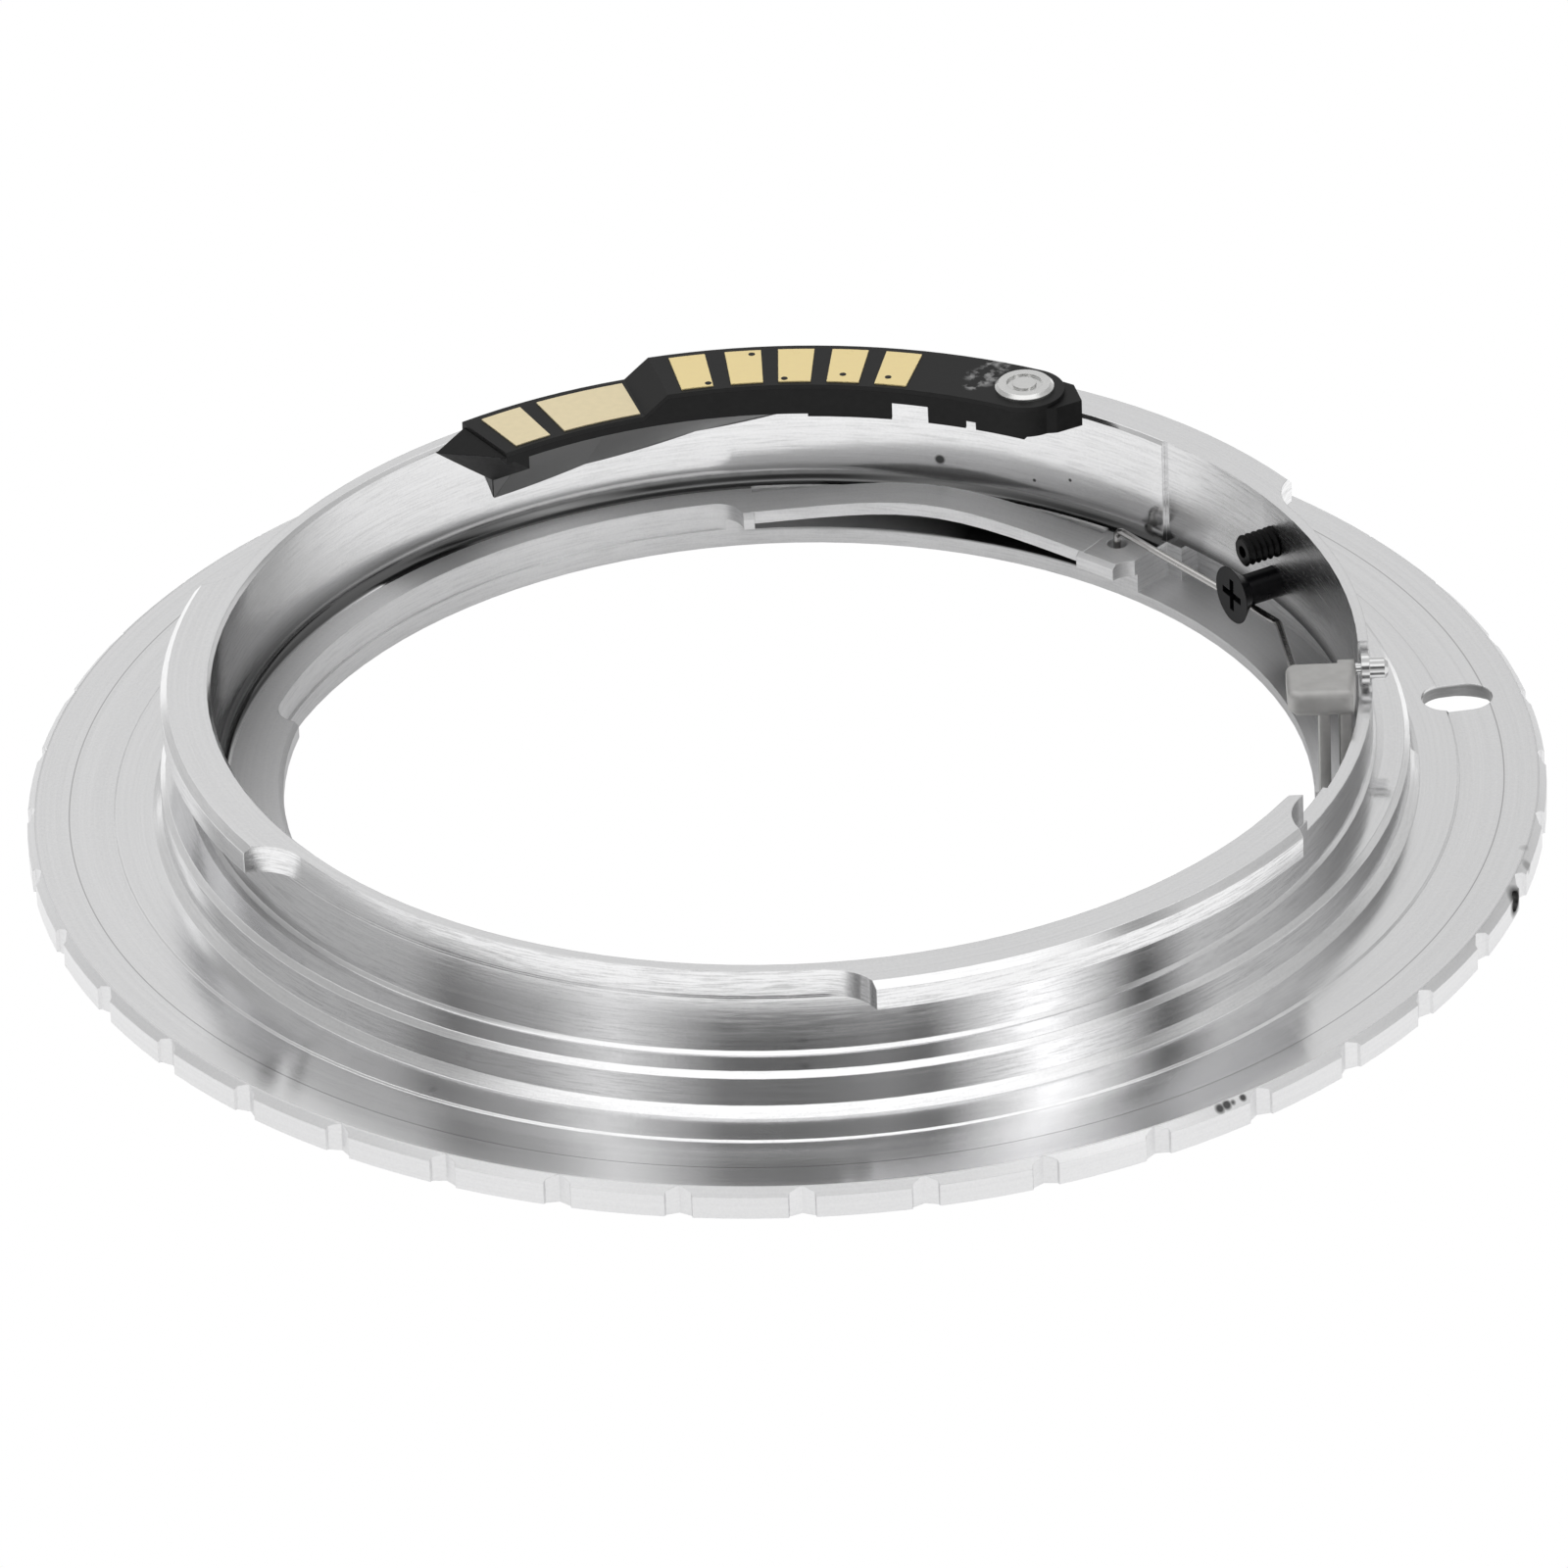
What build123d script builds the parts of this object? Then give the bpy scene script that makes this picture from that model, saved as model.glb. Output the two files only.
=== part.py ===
# Lens mount adapter: a turned and milled ring, a contact block and a sprung lens latch.
# Millimetres. The origin is on the ring's axis in the camera seat, +Z points to the camera.
# Azimuths are in degrees from +X, counter-clockwise seen from the camera side.
from build123d import *
from math import atan2, cos, degrees, radians, sin
import os

os.makedirs("parts", exist_ok=True)

# Flange
flange_r = 32.5
flange_t = 1.4
top_chamfer = 0.31
seat_w = 2.01
seat_step = 0.08

# Camera side: pilot, collar and bayonet lugs
pilot_r = 26.7
pilot_h = 1.93
pilot_chamfer = 0.24
pilot_foot = 0.4
neck_inset = 1.57
neck_foot = 0.15
neck_wall_t = 0.78
neck_mill_depth = 0.13
collar_h = 5.86
lug_inset = 0.2
lug_t = 1.26
lug_chamfer = 0.3
rim_chamfer = 0.15
lug_spans = [(-87.4, -31.2), (156.8, 215.4), (27.5, 83.2)]
lug_mill_r = 2.4

# Lens side: throat, tabs and lip
tab_face_z = 0.74
tab_t = 0.75
tab_reach = 2.85
throat_chamfer = 0.2
lip_w = 1.1
lip_step_z = -0.55
gap_depth = 1.22
cove_r = 0.9
cove_turn = 60.0
tab_spans = [(47.0, 94.0), (166.0, 222.0), (-76.0, -20.0)]
gap_mill_r = 1.2
gap_mill_turn = 3.0

# Spring leaf, slit in the first tab
leaf_start = 52.6
leaf_end = 92.5
leaf_t = 0.6
leaf_rise = 0.62
leaf_w = 2.0
leaf_root = 0.5
leaf_root_turn = 0.6
slit_gap = 0.35
slit_floor_z = -0.6
slit_roof_z = 2.14

# Grip notches and the small features of the flange
grip_count = 40
grip_w = 1.5
grip_sides = 8
grip_depth = 0.35
index_azimuth = -20.0
index_r = 0.45
index_depth = 0.6
lock_slot_azimuth = 9.4
lock_slot_mid_r = 29.4
lock_slot_l = 3.1
lock_slot_w = 2.2
lock_relief_l = 4.9
lock_relief_w = 4.7
lock_relief_depth = 0.75

# Latch pocket in the ring
pocket_start = -22.0
pocket_end = 46.0
pocket_depth = 1.15
pocket_wall_cut = 0.2
pocket_floor_z = -0.9
pocket_roof_z = 1.0
floor_setback = 2.0
rim_relief_z = 4.1
rim_relief_start_y = -12.6
rim_relief_end_y = -0.1
hook_hole_r = 0.45
hook_hole_depth = 1.0
bore_reach = 1.0

# Latch bolt, release pin and their clearances
bolt_y = -2.2
bolt_w = 2.7
head_overhang = 0.1
head_t = 1.25
head_z = 4.1
head_corner_r = 0.45
head_edge_r = 0.25
head_foot_chamfer = 0.35
leg_w = 1.7
inner_leg_offset = 1.25
inner_leg_t = 0.45
inner_leg_foot_z = -1.2
tip_offset = 2.12
tip_t = 0.5
tip_reach = 1.2
bolt_clearance = 0.12
wall_clearance = 0.12
pin_boss_r = 0.42
pin_boss_l = 0.72
pin_boss_end_gap = 0.08
pin_shank_r = 0.26
pin_shank_l = 0.8
pin_collar_r = 0.7
pin_collar_t = 0.35
pin_end_r = 0.47
pin_end_l = 0.8
pin_offset = 1.3
pin_rest_gap = 0.15

# Screws
screw_azimuth = 28.7
screw_z = 2.0
screw_shank_r = 0.7
screw_head_r = 1.3
screw_head_t = 0.65
screw_reach = 2.2
screw_recess_w = 0.32
screw_recess_l = 1.5
screw_recess_depth = 0.3
stop_azimuth = 28.9
stop_z = 3.95
stop_r = 0.7
stop_reach = 1.6
screw_seat_depth = 0.35
stop_recess_r = 0.3
stop_recess_depth = 0.3

# Wire spring
wire_r = 0.16
hook_azimuth = 50.0
hook_inset = 1.2
hook_depth = 0.6
wire_hook_rise = 0.35
wire_gap = 0.02
wire_low_offset = 1.87
wire_low_azimuth = 22.7
wire_low_z = 1.5
wire_end_offset = 0.3
wire_end_drop = 0.36
wire_end_depth = 0.35
wire_hole_gap = 0.06

# Contact block
chip_end = 123.6
chip_overhang = 0.15
chip_w = 3.5
chip_glue_gap = 0.05
chip_bottom_z = 6.05
chip_top_z = 7.3
chip_low_z = 6.4
chip_skirt_t = 1.7
chip_skirt_z = 5.0
chip_skirt_end = 86.0
ear_insets = [(0.1, 60.9), (0.2, 57.0), (1.2, 54.5), (2.3, 56.0), (3.0, 58.5), (3.3, 60.9)]
slope_top_azimuth = 102.5
slope_low_azimuth = 105.3
notch_x = 6.05
notch_w = 1.58
notch_roof_z = 6.75
small_notch_x = 8.69
small_notch_w = 0.43
small_notch_roof_z = 6.35
end_block_start = 120.5
end_block_end = 127.6
end_top_azimuth = 123.7
end_outer_azimuth = 127.3
end_outer_z = 5.7
end_foot_azimuth = 119.9
end_foot_z = 3.1
bead_sections = [(120.5, 2.4), (110.0, 2.85), (98.0, 3.6), (86.0, 4.6)]
bead_setback = 0.3
bead_slope = 1.2
board_t = 0.2
pad_t = 0.06
pad_inset = 0.25
pad_outset = 0.4
via_r = 0.13
via_sides = 6
high_pads = [(96.8, 100.6), (90.9, 94.7), (85.3, 89.1), (79.6, 83.4), (73.9, 77.7)]
low_pads = [(117.2, 121.8), (105.7, 115.3)]
rivet_azimuth = 60.9
rivet_r = 1.3
rivet_head_t = 0.3
rivet_groove_depth = 0.1
rivet_shank_r = 0.6
rivet_shank_l = 0.9
cell_offset = 0.15
cell_floor_z = 6.6
cell_gap = 0.05
cells = [
    ("chip_controller", 95.0, 2.6, 1.6, 0.55),
    ("chip_capacitor", 86.0, 1.0, 0.5, 0.5),
    ("chip_resistor", 80.0, 1.0, 0.5, 0.35),
]

# Values worked out from those above
seat_r = pilot_r + seat_w
neck_r = pilot_r - neck_inset
milled_neck_r = neck_r - neck_mill_depth
lug_r = pilot_r - lug_inset
bore_r = neck_r - neck_wall_t
throat_r = bore_r - tab_reach
lip_r = throat_r + lip_w
gap_r = throat_r + gap_depth
leaf_outer_r = throat_r + leaf_w
slit_r = leaf_outer_r + slit_gap
pocket_r = bore_r + pocket_depth
pocket_wall_r = bore_r + pocket_wall_cut
cove_w = cove_r * (1 - cos(radians(cove_turn)))
cove_h = cove_r * sin(radians(cove_turn))
seat_z = -flange_t
lug_z = collar_h - lug_t
tab_low_z = tab_face_z - tab_t
tip_z = seat_z - tip_reach
head_in_x = throat_r - head_overhang
head_out_r = pocket_wall_r - wall_clearance
head_top_z = head_z + head_t
head_back_y = bolt_y + bolt_w / 2
inner_leg_x = throat_r + inner_leg_offset
tip_x = throat_r + tip_offset
pin_y = bolt_y + pin_offset
pin_z = rim_relief_z + pin_rest_gap + pin_collar_r
boss_in_x = head_out_r - pin_boss_end_gap - pin_boss_l
pin_in_x = pocket_wall_r - pin_shank_l
screw_head_in_r = pocket_wall_r - screw_reach
stop_in_r = pocket_wall_r - stop_reach
hook_r = bore_r - hook_inset
chip_out_r = bore_r + chip_overhang
chip_in_r = chip_out_r - chip_w
chip_seat_r = bore_r - chip_glue_gap
chip_mid_r = chip_out_r - chip_w / 2
chip_skirt_in_r = chip_seat_r - chip_skirt_t
pad_in_r = chip_in_r + pad_inset
pad_out_r = chip_out_r - pad_outset
cell_r = chip_mid_r + cell_offset


def polar(radius, azimuth):
    """The point at a radius and an azimuth."""
    return (radius * cos(radians(azimuth)), radius * sin(radians(azimuth)))


rivet_xy = polar(chip_mid_r, rivet_azimuth)


def radial_plane(azimuth, radius, z):
    """A plane that faces outwards, with its x to the left and its y up."""
    x, y = polar(radius, azimuth)
    return Plane(
        origin=(x, y, z),
        x_dir=(-sin(radians(azimuth)), cos(radians(azimuth)), 0),
        z_dir=(cos(radians(azimuth)), sin(radians(azimuth)), 0),
    )


def ring_sector(inner, outer, start, end):
    """A flat sector of a ring between two azimuths."""
    with BuildSketch() as sector:
        with BuildLine():
            CenterArc((0, 0), outer, start, end - start)
            CenterArc((0, 0), inner, start, end - start)
            Line(polar(inner, start), polar(outer, start))
            Line(polar(inner, end), polar(outer, end))
        make_face()
    return sector.sketch


def azimuth_plane(azimuth):
    """A plane through the ring's axis, with its x outwards at the azimuth and its y up."""
    return Plane(
        origin=(0, 0, 0),
        x_dir=(cos(radians(azimuth)), sin(radians(azimuth)), 0),
        z_dir=(sin(radians(azimuth)), -cos(radians(azimuth)), 0),
    )


def taper_of(step, length):
    """The taper angle of a cone that narrows by a step over a length."""
    return degrees(atan2(step, length))


def gaps_between(spans):
    """The azimuth gaps that the spans leave round the circle."""
    ordered = sorted(spans)
    following = ordered[1:] + [(ordered[0][0] + 360, 0)]
    return [(span[1], after[0]) for span, after in zip(ordered, following)]


# The ring: one piece, turned, then milled
with BuildPart() as adapter_ring:
    with BuildSketch(Plane.XZ):
        with BuildLine():
            Polyline(
                (bore_r - cove_w, tab_face_z),
                (throat_r + throat_chamfer, tab_face_z),
                (throat_r, tab_face_z - throat_chamfer),
                (throat_r, tab_low_z),
                (lip_r, tab_low_z),
                (lip_r, seat_z),
                (flange_r, seat_z),
                (flange_r, -seat_step - top_chamfer),
                (flange_r - top_chamfer, -seat_step),
                (seat_r + seat_step, -seat_step),
                (seat_r, 0),
                (pilot_r + pilot_foot, 0),
                (pilot_r, pilot_foot),
                (pilot_r, pilot_h - pilot_chamfer),
                (pilot_r - pilot_chamfer, pilot_h),
                (neck_r + neck_foot, pilot_h),
                (neck_r, pilot_h + neck_foot),
                (neck_r, lug_z),
                (lug_r, lug_z),
                (lug_r, collar_h - lug_chamfer),
                (lug_r - lug_chamfer, collar_h),
                (bore_r + rim_chamfer, collar_h),
                (bore_r, collar_h - rim_chamfer),
                (bore_r, tab_face_z + cove_h),
            )
            RadiusArc((bore_r, tab_face_z + cove_h), (bore_r - cove_w, tab_face_z), cove_r)
        make_face()
    revolve(axis=Axis.Z)

    # Gaps between the camera lugs, with the run-out of the mill at both ends
    for start, end in gaps_between(lug_spans):
        with BuildSketch(Plane.XY.offset(lug_z)):
            add(ring_sector(milled_neck_r, lug_r + bore_reach, start, end))
            with Locations(polar(milled_neck_r + lug_mill_r, start), polar(milled_neck_r + lug_mill_r, end)):
                Circle(lug_mill_r)
        extrude(amount=collar_h, mode=Mode.SUBTRACT)

    # Gaps between the lens tabs, above the lip
    for start, end in gaps_between(tab_spans):
        with BuildSketch(Plane.XY.offset(lip_step_z)):
            add(ring_sector(throat_r - bore_reach, gap_r, start + gap_mill_turn, end - gap_mill_turn))
            with Locations(
                polar(gap_r - gap_mill_r, start + gap_mill_turn),
                polar(gap_r - gap_mill_r, end - gap_mill_turn),
            ):
                Circle(gap_mill_r)
        extrude(amount=tab_face_z - lip_step_z, mode=Mode.SUBTRACT)

    # Slit and clearance of the spring leaf
    with BuildSketch(Plane.XY.offset(slit_floor_z)):
        add(ring_sector(throat_r - bore_reach, slit_r, leaf_start, leaf_end))
    extrude(amount=slit_roof_z - slit_floor_z, mode=Mode.SUBTRACT)

    # Latch pocket: the floor level, the relieved collar wall and the way in from the throat
    with BuildSketch(Plane.XY.offset(pocket_floor_z)):
        add(ring_sector(throat_r - bore_reach, pocket_r, pocket_start, pocket_end - floor_setback))
    extrude(amount=pocket_roof_z - pocket_floor_z, mode=Mode.SUBTRACT)
    with BuildSketch(Plane.XY.offset(pocket_floor_z)):
        add(ring_sector(throat_r - bore_reach, pocket_wall_r, pocket_start, pocket_end))
    extrude(amount=collar_h - pocket_floor_z, mode=Mode.SUBTRACT)

    # Low stretch of the collar rim beside the latch
    with BuildSketch(Plane.XY.offset(rim_relief_z)):
        with Locations((bore_r, (rim_relief_start_y + rim_relief_end_y) / 2)):
            Rectangle(3 * tab_reach, rim_relief_end_y - rim_relief_start_y)
    extrude(amount=collar_h, mode=Mode.SUBTRACT)

    # Way through the lip for the legs of the bolt
    slot_out_x = tip_x + tip_t + bolt_clearance
    slot_w = leg_w + 2 * bolt_clearance
    with BuildSketch(Plane.XY.offset(seat_z)):
        with Locations(((throat_r + slot_out_x) / 2, bolt_y)):
            Rectangle(slot_out_x - throat_r, slot_w)
    extrude(amount=flange_t, mode=Mode.SUBTRACT)

    # Slot for the camera's lock pin, relieved from the lens side
    lock_mid = polar(lock_slot_mid_r, lock_slot_azimuth)
    with BuildSketch(Plane.XY.offset(seat_z)):
        with Locations(Location(lock_mid, lock_slot_azimuth)):
            SlotOverall(lock_slot_l, lock_slot_w)
    extrude(amount=flange_t, mode=Mode.SUBTRACT)
    with BuildSketch(Plane.XY.offset(seat_z)):
        with Locations(Location(lock_mid, lock_slot_azimuth)):
            SlotOverall(lock_relief_l, lock_relief_w)
    extrude(amount=lock_relief_depth, mode=Mode.SUBTRACT)

    # Grip notches round the rim
    with BuildSketch(Plane.XY.offset(seat_z)):
        with PolarLocations(flange_r + grip_w / 2 - grip_depth, grip_count):
            RegularPolygon(grip_w / 2, grip_sides)
    extrude(amount=flange_t, mode=Mode.SUBTRACT)

    # Index dimple in the rim
    with BuildSketch(radial_plane(index_azimuth, flange_r - index_depth, seat_z / 2)):
        Circle(index_r)
    extrude(amount=2 * index_depth, mode=Mode.SUBTRACT)

    # Holes for the two screws and the hook of the wire
    with BuildSketch(radial_plane(screw_azimuth, bore_r - bore_reach, screw_z)):
        Circle(screw_shank_r)
    extrude(amount=bore_reach + pocket_wall_r - bore_r + screw_seat_depth, mode=Mode.SUBTRACT)
    with BuildSketch(radial_plane(stop_azimuth, bore_r - bore_reach, stop_z)):
        Circle(stop_r)
    extrude(amount=bore_reach + pocket_wall_r - bore_r + screw_seat_depth, mode=Mode.SUBTRACT)
    with BuildSketch(Plane.XY.offset(tab_face_z - hook_hole_depth)):
        with Locations(polar(hook_r, hook_azimuth)):
            Circle(hook_hole_r)
    extrude(amount=hook_hole_depth + bore_reach, mode=Mode.SUBTRACT)

    # The bowed leaf itself, between the slit's two ends
    leaf_mid = (leaf_start + leaf_end) / 2
    half_chord = leaf_outer_r * sin(radians((leaf_end - leaf_start) / 2)) + leaf_root
    with BuildPart(mode=Mode.PRIVATE) as leaf:
        with BuildSketch(Plane.XY.offset(tab_low_z - leaf_t)):
            add(ring_sector(throat_r + throat_chamfer, leaf_outer_r, leaf_start - leaf_root_turn, leaf_end + leaf_root_turn))
        extrude(amount=tab_t + leaf_rise + 2 * leaf_t)
        with BuildSketch(radial_plane(leaf_mid, 0, tab_face_z)):
            with BuildLine():
                Spline(
                    (-half_chord, 0),
                    (0, leaf_rise),
                    (half_chord, 0),
                    tangents=[(1, 0), (1, 0)],
                )
                Line((half_chord, 0), (half_chord, -leaf_t))
                Spline(
                    (half_chord, -leaf_t),
                    (0, leaf_rise - leaf_t),
                    (-half_chord, -leaf_t),
                    tangents=[(-1, 0), (-1, 0)],
                )
                Line((-half_chord, -leaf_t), (-half_chord, 0))
            make_face()
        extrude(amount=2 * leaf_outer_r, mode=Mode.INTERSECT)
    add(leaf.part)
adapter_ring.part.label = "adapter_ring"
export_step(adapter_ring.part, "parts/adapter_ring.step")

# The bolt that locks the lens: a head with a forked leg, cut to the curve of the collar wall
low_x, low_y = polar(throat_r + wire_low_offset, wire_low_azimuth)
wire_low = Vector(low_x, low_y, wire_low_z)
wire_end = Vector(throat_r + wire_end_offset, head_back_y - wire_end_depth, head_top_z - wire_end_drop)
wire_way = (wire_low - wire_end).normalized()
with BuildPart() as latch_bolt:
    with BuildSketch(Plane.XY.offset(head_z)):
        with Locations((head_in_x + bolt_w, bolt_y)):
            Rectangle(2 * bolt_w, bolt_w)
        Circle(head_out_r, mode=Mode.INTERSECT)
    extrude(amount=head_t)
    fillet(latch_bolt.edges().filter_by(Axis.Z).group_by(Axis.X)[0], head_corner_r)
    fillet(latch_bolt.faces().sort_by(Axis.Z)[-1].edges(), head_edge_r)
    chamfer(latch_bolt.faces().sort_by(Axis.Z)[0].edges().sort_by(Axis.X)[:-1], head_foot_chamfer)
    with BuildSketch(Plane.XY.offset(head_z)):
        with Locations((inner_leg_x + inner_leg_t / 2, bolt_y)):
            Rectangle(inner_leg_t, leg_w)
    extrude(amount=inner_leg_foot_z - head_z)
    with BuildSketch(Plane.XY.offset(head_z)):
        with Locations((tip_x + tip_t / 2, bolt_y)):
            Rectangle(tip_t, leg_w)
    extrude(amount=tip_z - head_z)
    with BuildSketch(Plane.YZ.offset(boss_in_x)):
        with Locations((pin_y, pin_z)):
            Circle(pin_boss_r)
    extrude(amount=pin_boss_l)
    with BuildSketch(Plane.YZ.offset(pin_in_x)):
        with Locations((pin_y, pin_z)):
            Circle(pin_shank_r)
    extrude(amount=bolt_w, mode=Mode.SUBTRACT)
    with BuildSketch(Plane(origin=wire_end - wire_way * wire_hole_gap, z_dir=wire_way)):
        Circle(wire_r + wire_hole_gap)
    extrude(amount=bolt_w, mode=Mode.SUBTRACT)
latch_bolt.part.label = "latch_bolt"
export_step(latch_bolt.part, "parts/latch_bolt.step")

# Collared pin that lifts the bolt, pressed into the boss behind its head
collar_x = pocket_wall_r + pin_boss_end_gap
with BuildPart() as release_pin:
    with BuildSketch(Plane.YZ.offset(pin_in_x)):
        with Locations((pin_y, pin_z)):
            Circle(pin_shank_r)
    extrude(amount=collar_x - pin_in_x)
    with BuildSketch(Plane.YZ.offset(collar_x)):
        with Locations((pin_y, pin_z)):
            Circle(pin_collar_r)
    extrude(amount=pin_collar_t)
    with BuildSketch(Plane.YZ.offset(collar_x + pin_collar_t)):
        with Locations((pin_y, pin_z)):
            Circle(pin_end_r)
    extrude(amount=pin_end_l)
    chamfer(release_pin.faces().sort_by(Axis.X)[-1].edges(), pin_end_r / 3)
release_pin.part.label = "release_pin"
export_step(release_pin.part, "parts/release_pin.step")

# Wire spring: from its hole, under the screw's shank and into the back of the bolt's head
under_shank_z = screw_z - screw_shank_r - wire_r - wire_gap
hook_x, hook_y = polar(hook_r, hook_azimuth)
shank_x, shank_y = polar(screw_head_in_r + screw_head_t + 2 * wire_r, screw_azimuth)
with BuildPart() as wire_spring:
    with BuildLine() as wire_path:
        FilletPolyline(
            (hook_x, hook_y, tab_face_z - hook_depth),
            (hook_x, hook_y, under_shank_z + wire_hook_rise),
            (shank_x, shank_y, under_shank_z),
            wire_low,
            wire_end,
            radius=[0.4, 1.2, 1.5],
        )
    with BuildSketch(Plane(origin=(hook_x, hook_y, tab_face_z - hook_depth), z_dir=(0, 0, 1))):
        Circle(wire_r)
    sweep(path=wire_path.line)
wire_spring.part.label = "wire_spring"
export_step(wire_spring.part, "parts/wire_spring.step")

# Countersunk cross-head screw that holds the wire down
with BuildPart() as spring_screw:
    with BuildSketch(radial_plane(screw_azimuth, screw_head_in_r, screw_z)):
        Circle(screw_head_r)
    extrude(amount=screw_head_t, taper=taper_of(screw_head_r - screw_shank_r, screw_head_t))
    with BuildSketch(radial_plane(screw_azimuth, screw_head_in_r, screw_z)):
        Circle(screw_shank_r)
    extrude(amount=pocket_wall_r + screw_seat_depth - screw_head_in_r)
    with BuildSketch(radial_plane(screw_azimuth, screw_head_in_r, screw_z)):
        Rectangle(screw_recess_w, screw_recess_l)
        Rectangle(screw_recess_l, screw_recess_w)
    extrude(amount=screw_recess_depth, mode=Mode.SUBTRACT)
spring_screw.part.label = "spring_screw"
export_step(spring_screw.part, "parts/spring_screw.step")

# Headless stop screw above it
with BuildPart() as stop_screw:
    with BuildSketch(radial_plane(stop_azimuth, stop_in_r, stop_z)):
        Circle(stop_r)
    extrude(amount=pocket_wall_r + screw_seat_depth - stop_in_r)
    with BuildSketch(radial_plane(stop_azimuth, stop_in_r, stop_z)):
        Circle(stop_recess_r)
    extrude(amount=stop_recess_depth, mode=Mode.SUBTRACT)
stop_screw.part.label = "stop_screw"
export_step(stop_screw.part, "parts/stop_screw.step")


def level_line(lift):
    """The top of the contact block's base seen along its slope's radius, raised by a height."""
    slope_mid = (slope_top_azimuth + slope_low_azimuth) / 2
    slope_half = chip_mid_r * sin(radians(slope_low_azimuth - slope_mid))
    return [
        (-2 * chip_out_r, chip_top_z + lift),
        (-slope_half, chip_top_z + lift),
        (slope_half, chip_low_z + lift),
        (2 * chip_out_r, chip_low_z + lift),
    ]


def between_lines(upper, lower):
    """A solid across the contact block between two lines seen along its slope's radius."""
    with BuildPart() as levels:
        with BuildSketch(radial_plane((slope_top_azimuth + slope_low_azimuth) / 2, 0, 0)):
            with BuildLine():
                Polyline(*upper, *reversed(lower), close=True)
            make_face()
        extrude(amount=2 * chip_out_r)
    return levels.part


def corner(radius, azimuth, z):
    """The point at a radius, an azimuth and a height."""
    return Vector(*polar(radius, azimuth), z)


# Base of the contact block: a plate at two levels, a skirt against the collar wall and a sloping left end
flat_bottom = [(-2 * chip_out_r, chip_bottom_z), (2 * chip_out_r, chip_bottom_z)]
end_top = corner(chip_in_r, end_top_azimuth, chip_low_z)
end_outer = corner(chip_seat_r, end_outer_azimuth, end_outer_z)
end_foot = corner(chip_seat_r, end_foot_azimuth, end_foot_z)
end_back = corner(chip_seat_r, end_top_azimuth, chip_low_z)
with BuildPart() as chip_base:
    with BuildSketch():
        add(ring_sector(chip_in_r, chip_out_r, rivet_azimuth, chip_end))
        with BuildLine():
            Polyline(*[polar(chip_out_r - inset, azimuth) for inset, azimuth in ear_insets], close=True)
        make_face()
        with Locations(rivet_xy):
            Circle(chip_w / 2)
    extrude(amount=chip_top_z)
    add(between_lines(level_line(0), flat_bottom), mode=Mode.INTERSECT)
    with BuildSketch(azimuth_plane(rivet_azimuth)):
        with BuildLine():
            Polyline(
                (chip_skirt_in_r, chip_bottom_z),
                (chip_seat_r, chip_bottom_z),
                (chip_seat_r, chip_skirt_z),
                (chip_skirt_in_r, chip_skirt_z),
                close=True,
            )
        make_face()
    revolve(axis=Axis.Z, revolution_arc=chip_skirt_end - rivet_azimuth)
    with BuildPart(mode=Mode.PRIVATE) as end_block:
        with BuildSketch():
            add(ring_sector(chip_in_r, chip_seat_r, end_block_start, end_block_end))
        extrude(amount=chip_low_z)
        for second, third in ((end_outer, end_foot), (end_back, end_outer)):
            normal = (second - end_top).cross(third - end_top)
            split(bisect_by=Plane(origin=end_top, z_dir=normal), keep=Keep.BOTTOM)
    add(end_block.part)
    with BuildSketch():
        Circle(chip_out_r + bore_reach)
        Circle(chip_seat_r, mode=Mode.SUBTRACT)
    extrude(amount=collar_h + chip_glue_gap, mode=Mode.SUBTRACT)
    for x, width, roof_z in (
        (notch_x, notch_w, notch_roof_z),
        (small_notch_x, small_notch_w, small_notch_roof_z),
    ):
        with BuildSketch():
            with Locations((x, chip_mid_r)):
                Rectangle(width, 3 * chip_w)
            Circle(chip_seat_r, mode=Mode.INTERSECT)
        extrude(amount=roof_z, mode=Mode.SUBTRACT)
    for name, azimuth, length, width, height in cells:
        with BuildSketch(Plane.XY.offset(cell_floor_z)):
            with Locations(Location(polar(cell_r, azimuth), azimuth)):
                Rectangle(width + 2 * cell_gap, length + 2 * cell_gap)
        extrude(amount=chip_top_z, mode=Mode.SUBTRACT)
    with BuildSketch(Plane.XY.offset(chip_top_z - rivet_shank_l)):
        with Locations(rivet_xy):
            Circle(rivet_shank_r)
    extrude(amount=chip_top_z, mode=Mode.SUBTRACT)
chip_base.part.label = "chip_base"
export_step(chip_base.part, "parts/chip_base.step")

# Board on top of the base, bent at the slope
with BuildPart() as chip_board:
    with BuildSketch():
        add(ring_sector(chip_in_r, chip_out_r, rivet_azimuth, chip_end))
        with Locations(rivet_xy):
            Circle(chip_w / 2)
    extrude(amount=chip_top_z + board_t)
    add(between_lines(level_line(board_t), level_line(0)), mode=Mode.INTERSECT)
    with BuildSketch(Plane.XY.offset(chip_top_z)):
        with Locations(rivet_xy):
            Circle(rivet_shank_r)
    extrude(amount=board_t, mode=Mode.SUBTRACT)
chip_board.part.label = "chip_board"
export_step(chip_board.part, "parts/chip_board.step")

# Seven contact pads on the board
pad_levels = [(span, chip_low_z) for span in low_pads] + [(span, chip_top_z) for span in high_pads]
for number, (span, level) in enumerate(pad_levels, start=1):
    with BuildPart() as contact_pad:
        with BuildSketch(Plane.XY.offset(level + board_t)):
            add(ring_sector(pad_in_r, pad_out_r, *span))
            if level == chip_top_z:
                with Locations(polar(pad_out_r - 2 * via_r, sum(span) / 2)):
                    RegularPolygon(via_r, via_sides, mode=Mode.SUBTRACT)
        extrude(amount=pad_t)
    contact_pad.part.label = f"contact_pad_{number}"
    export_step(contact_pad.part, f"parts/contact_pad_{number}.step")

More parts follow.
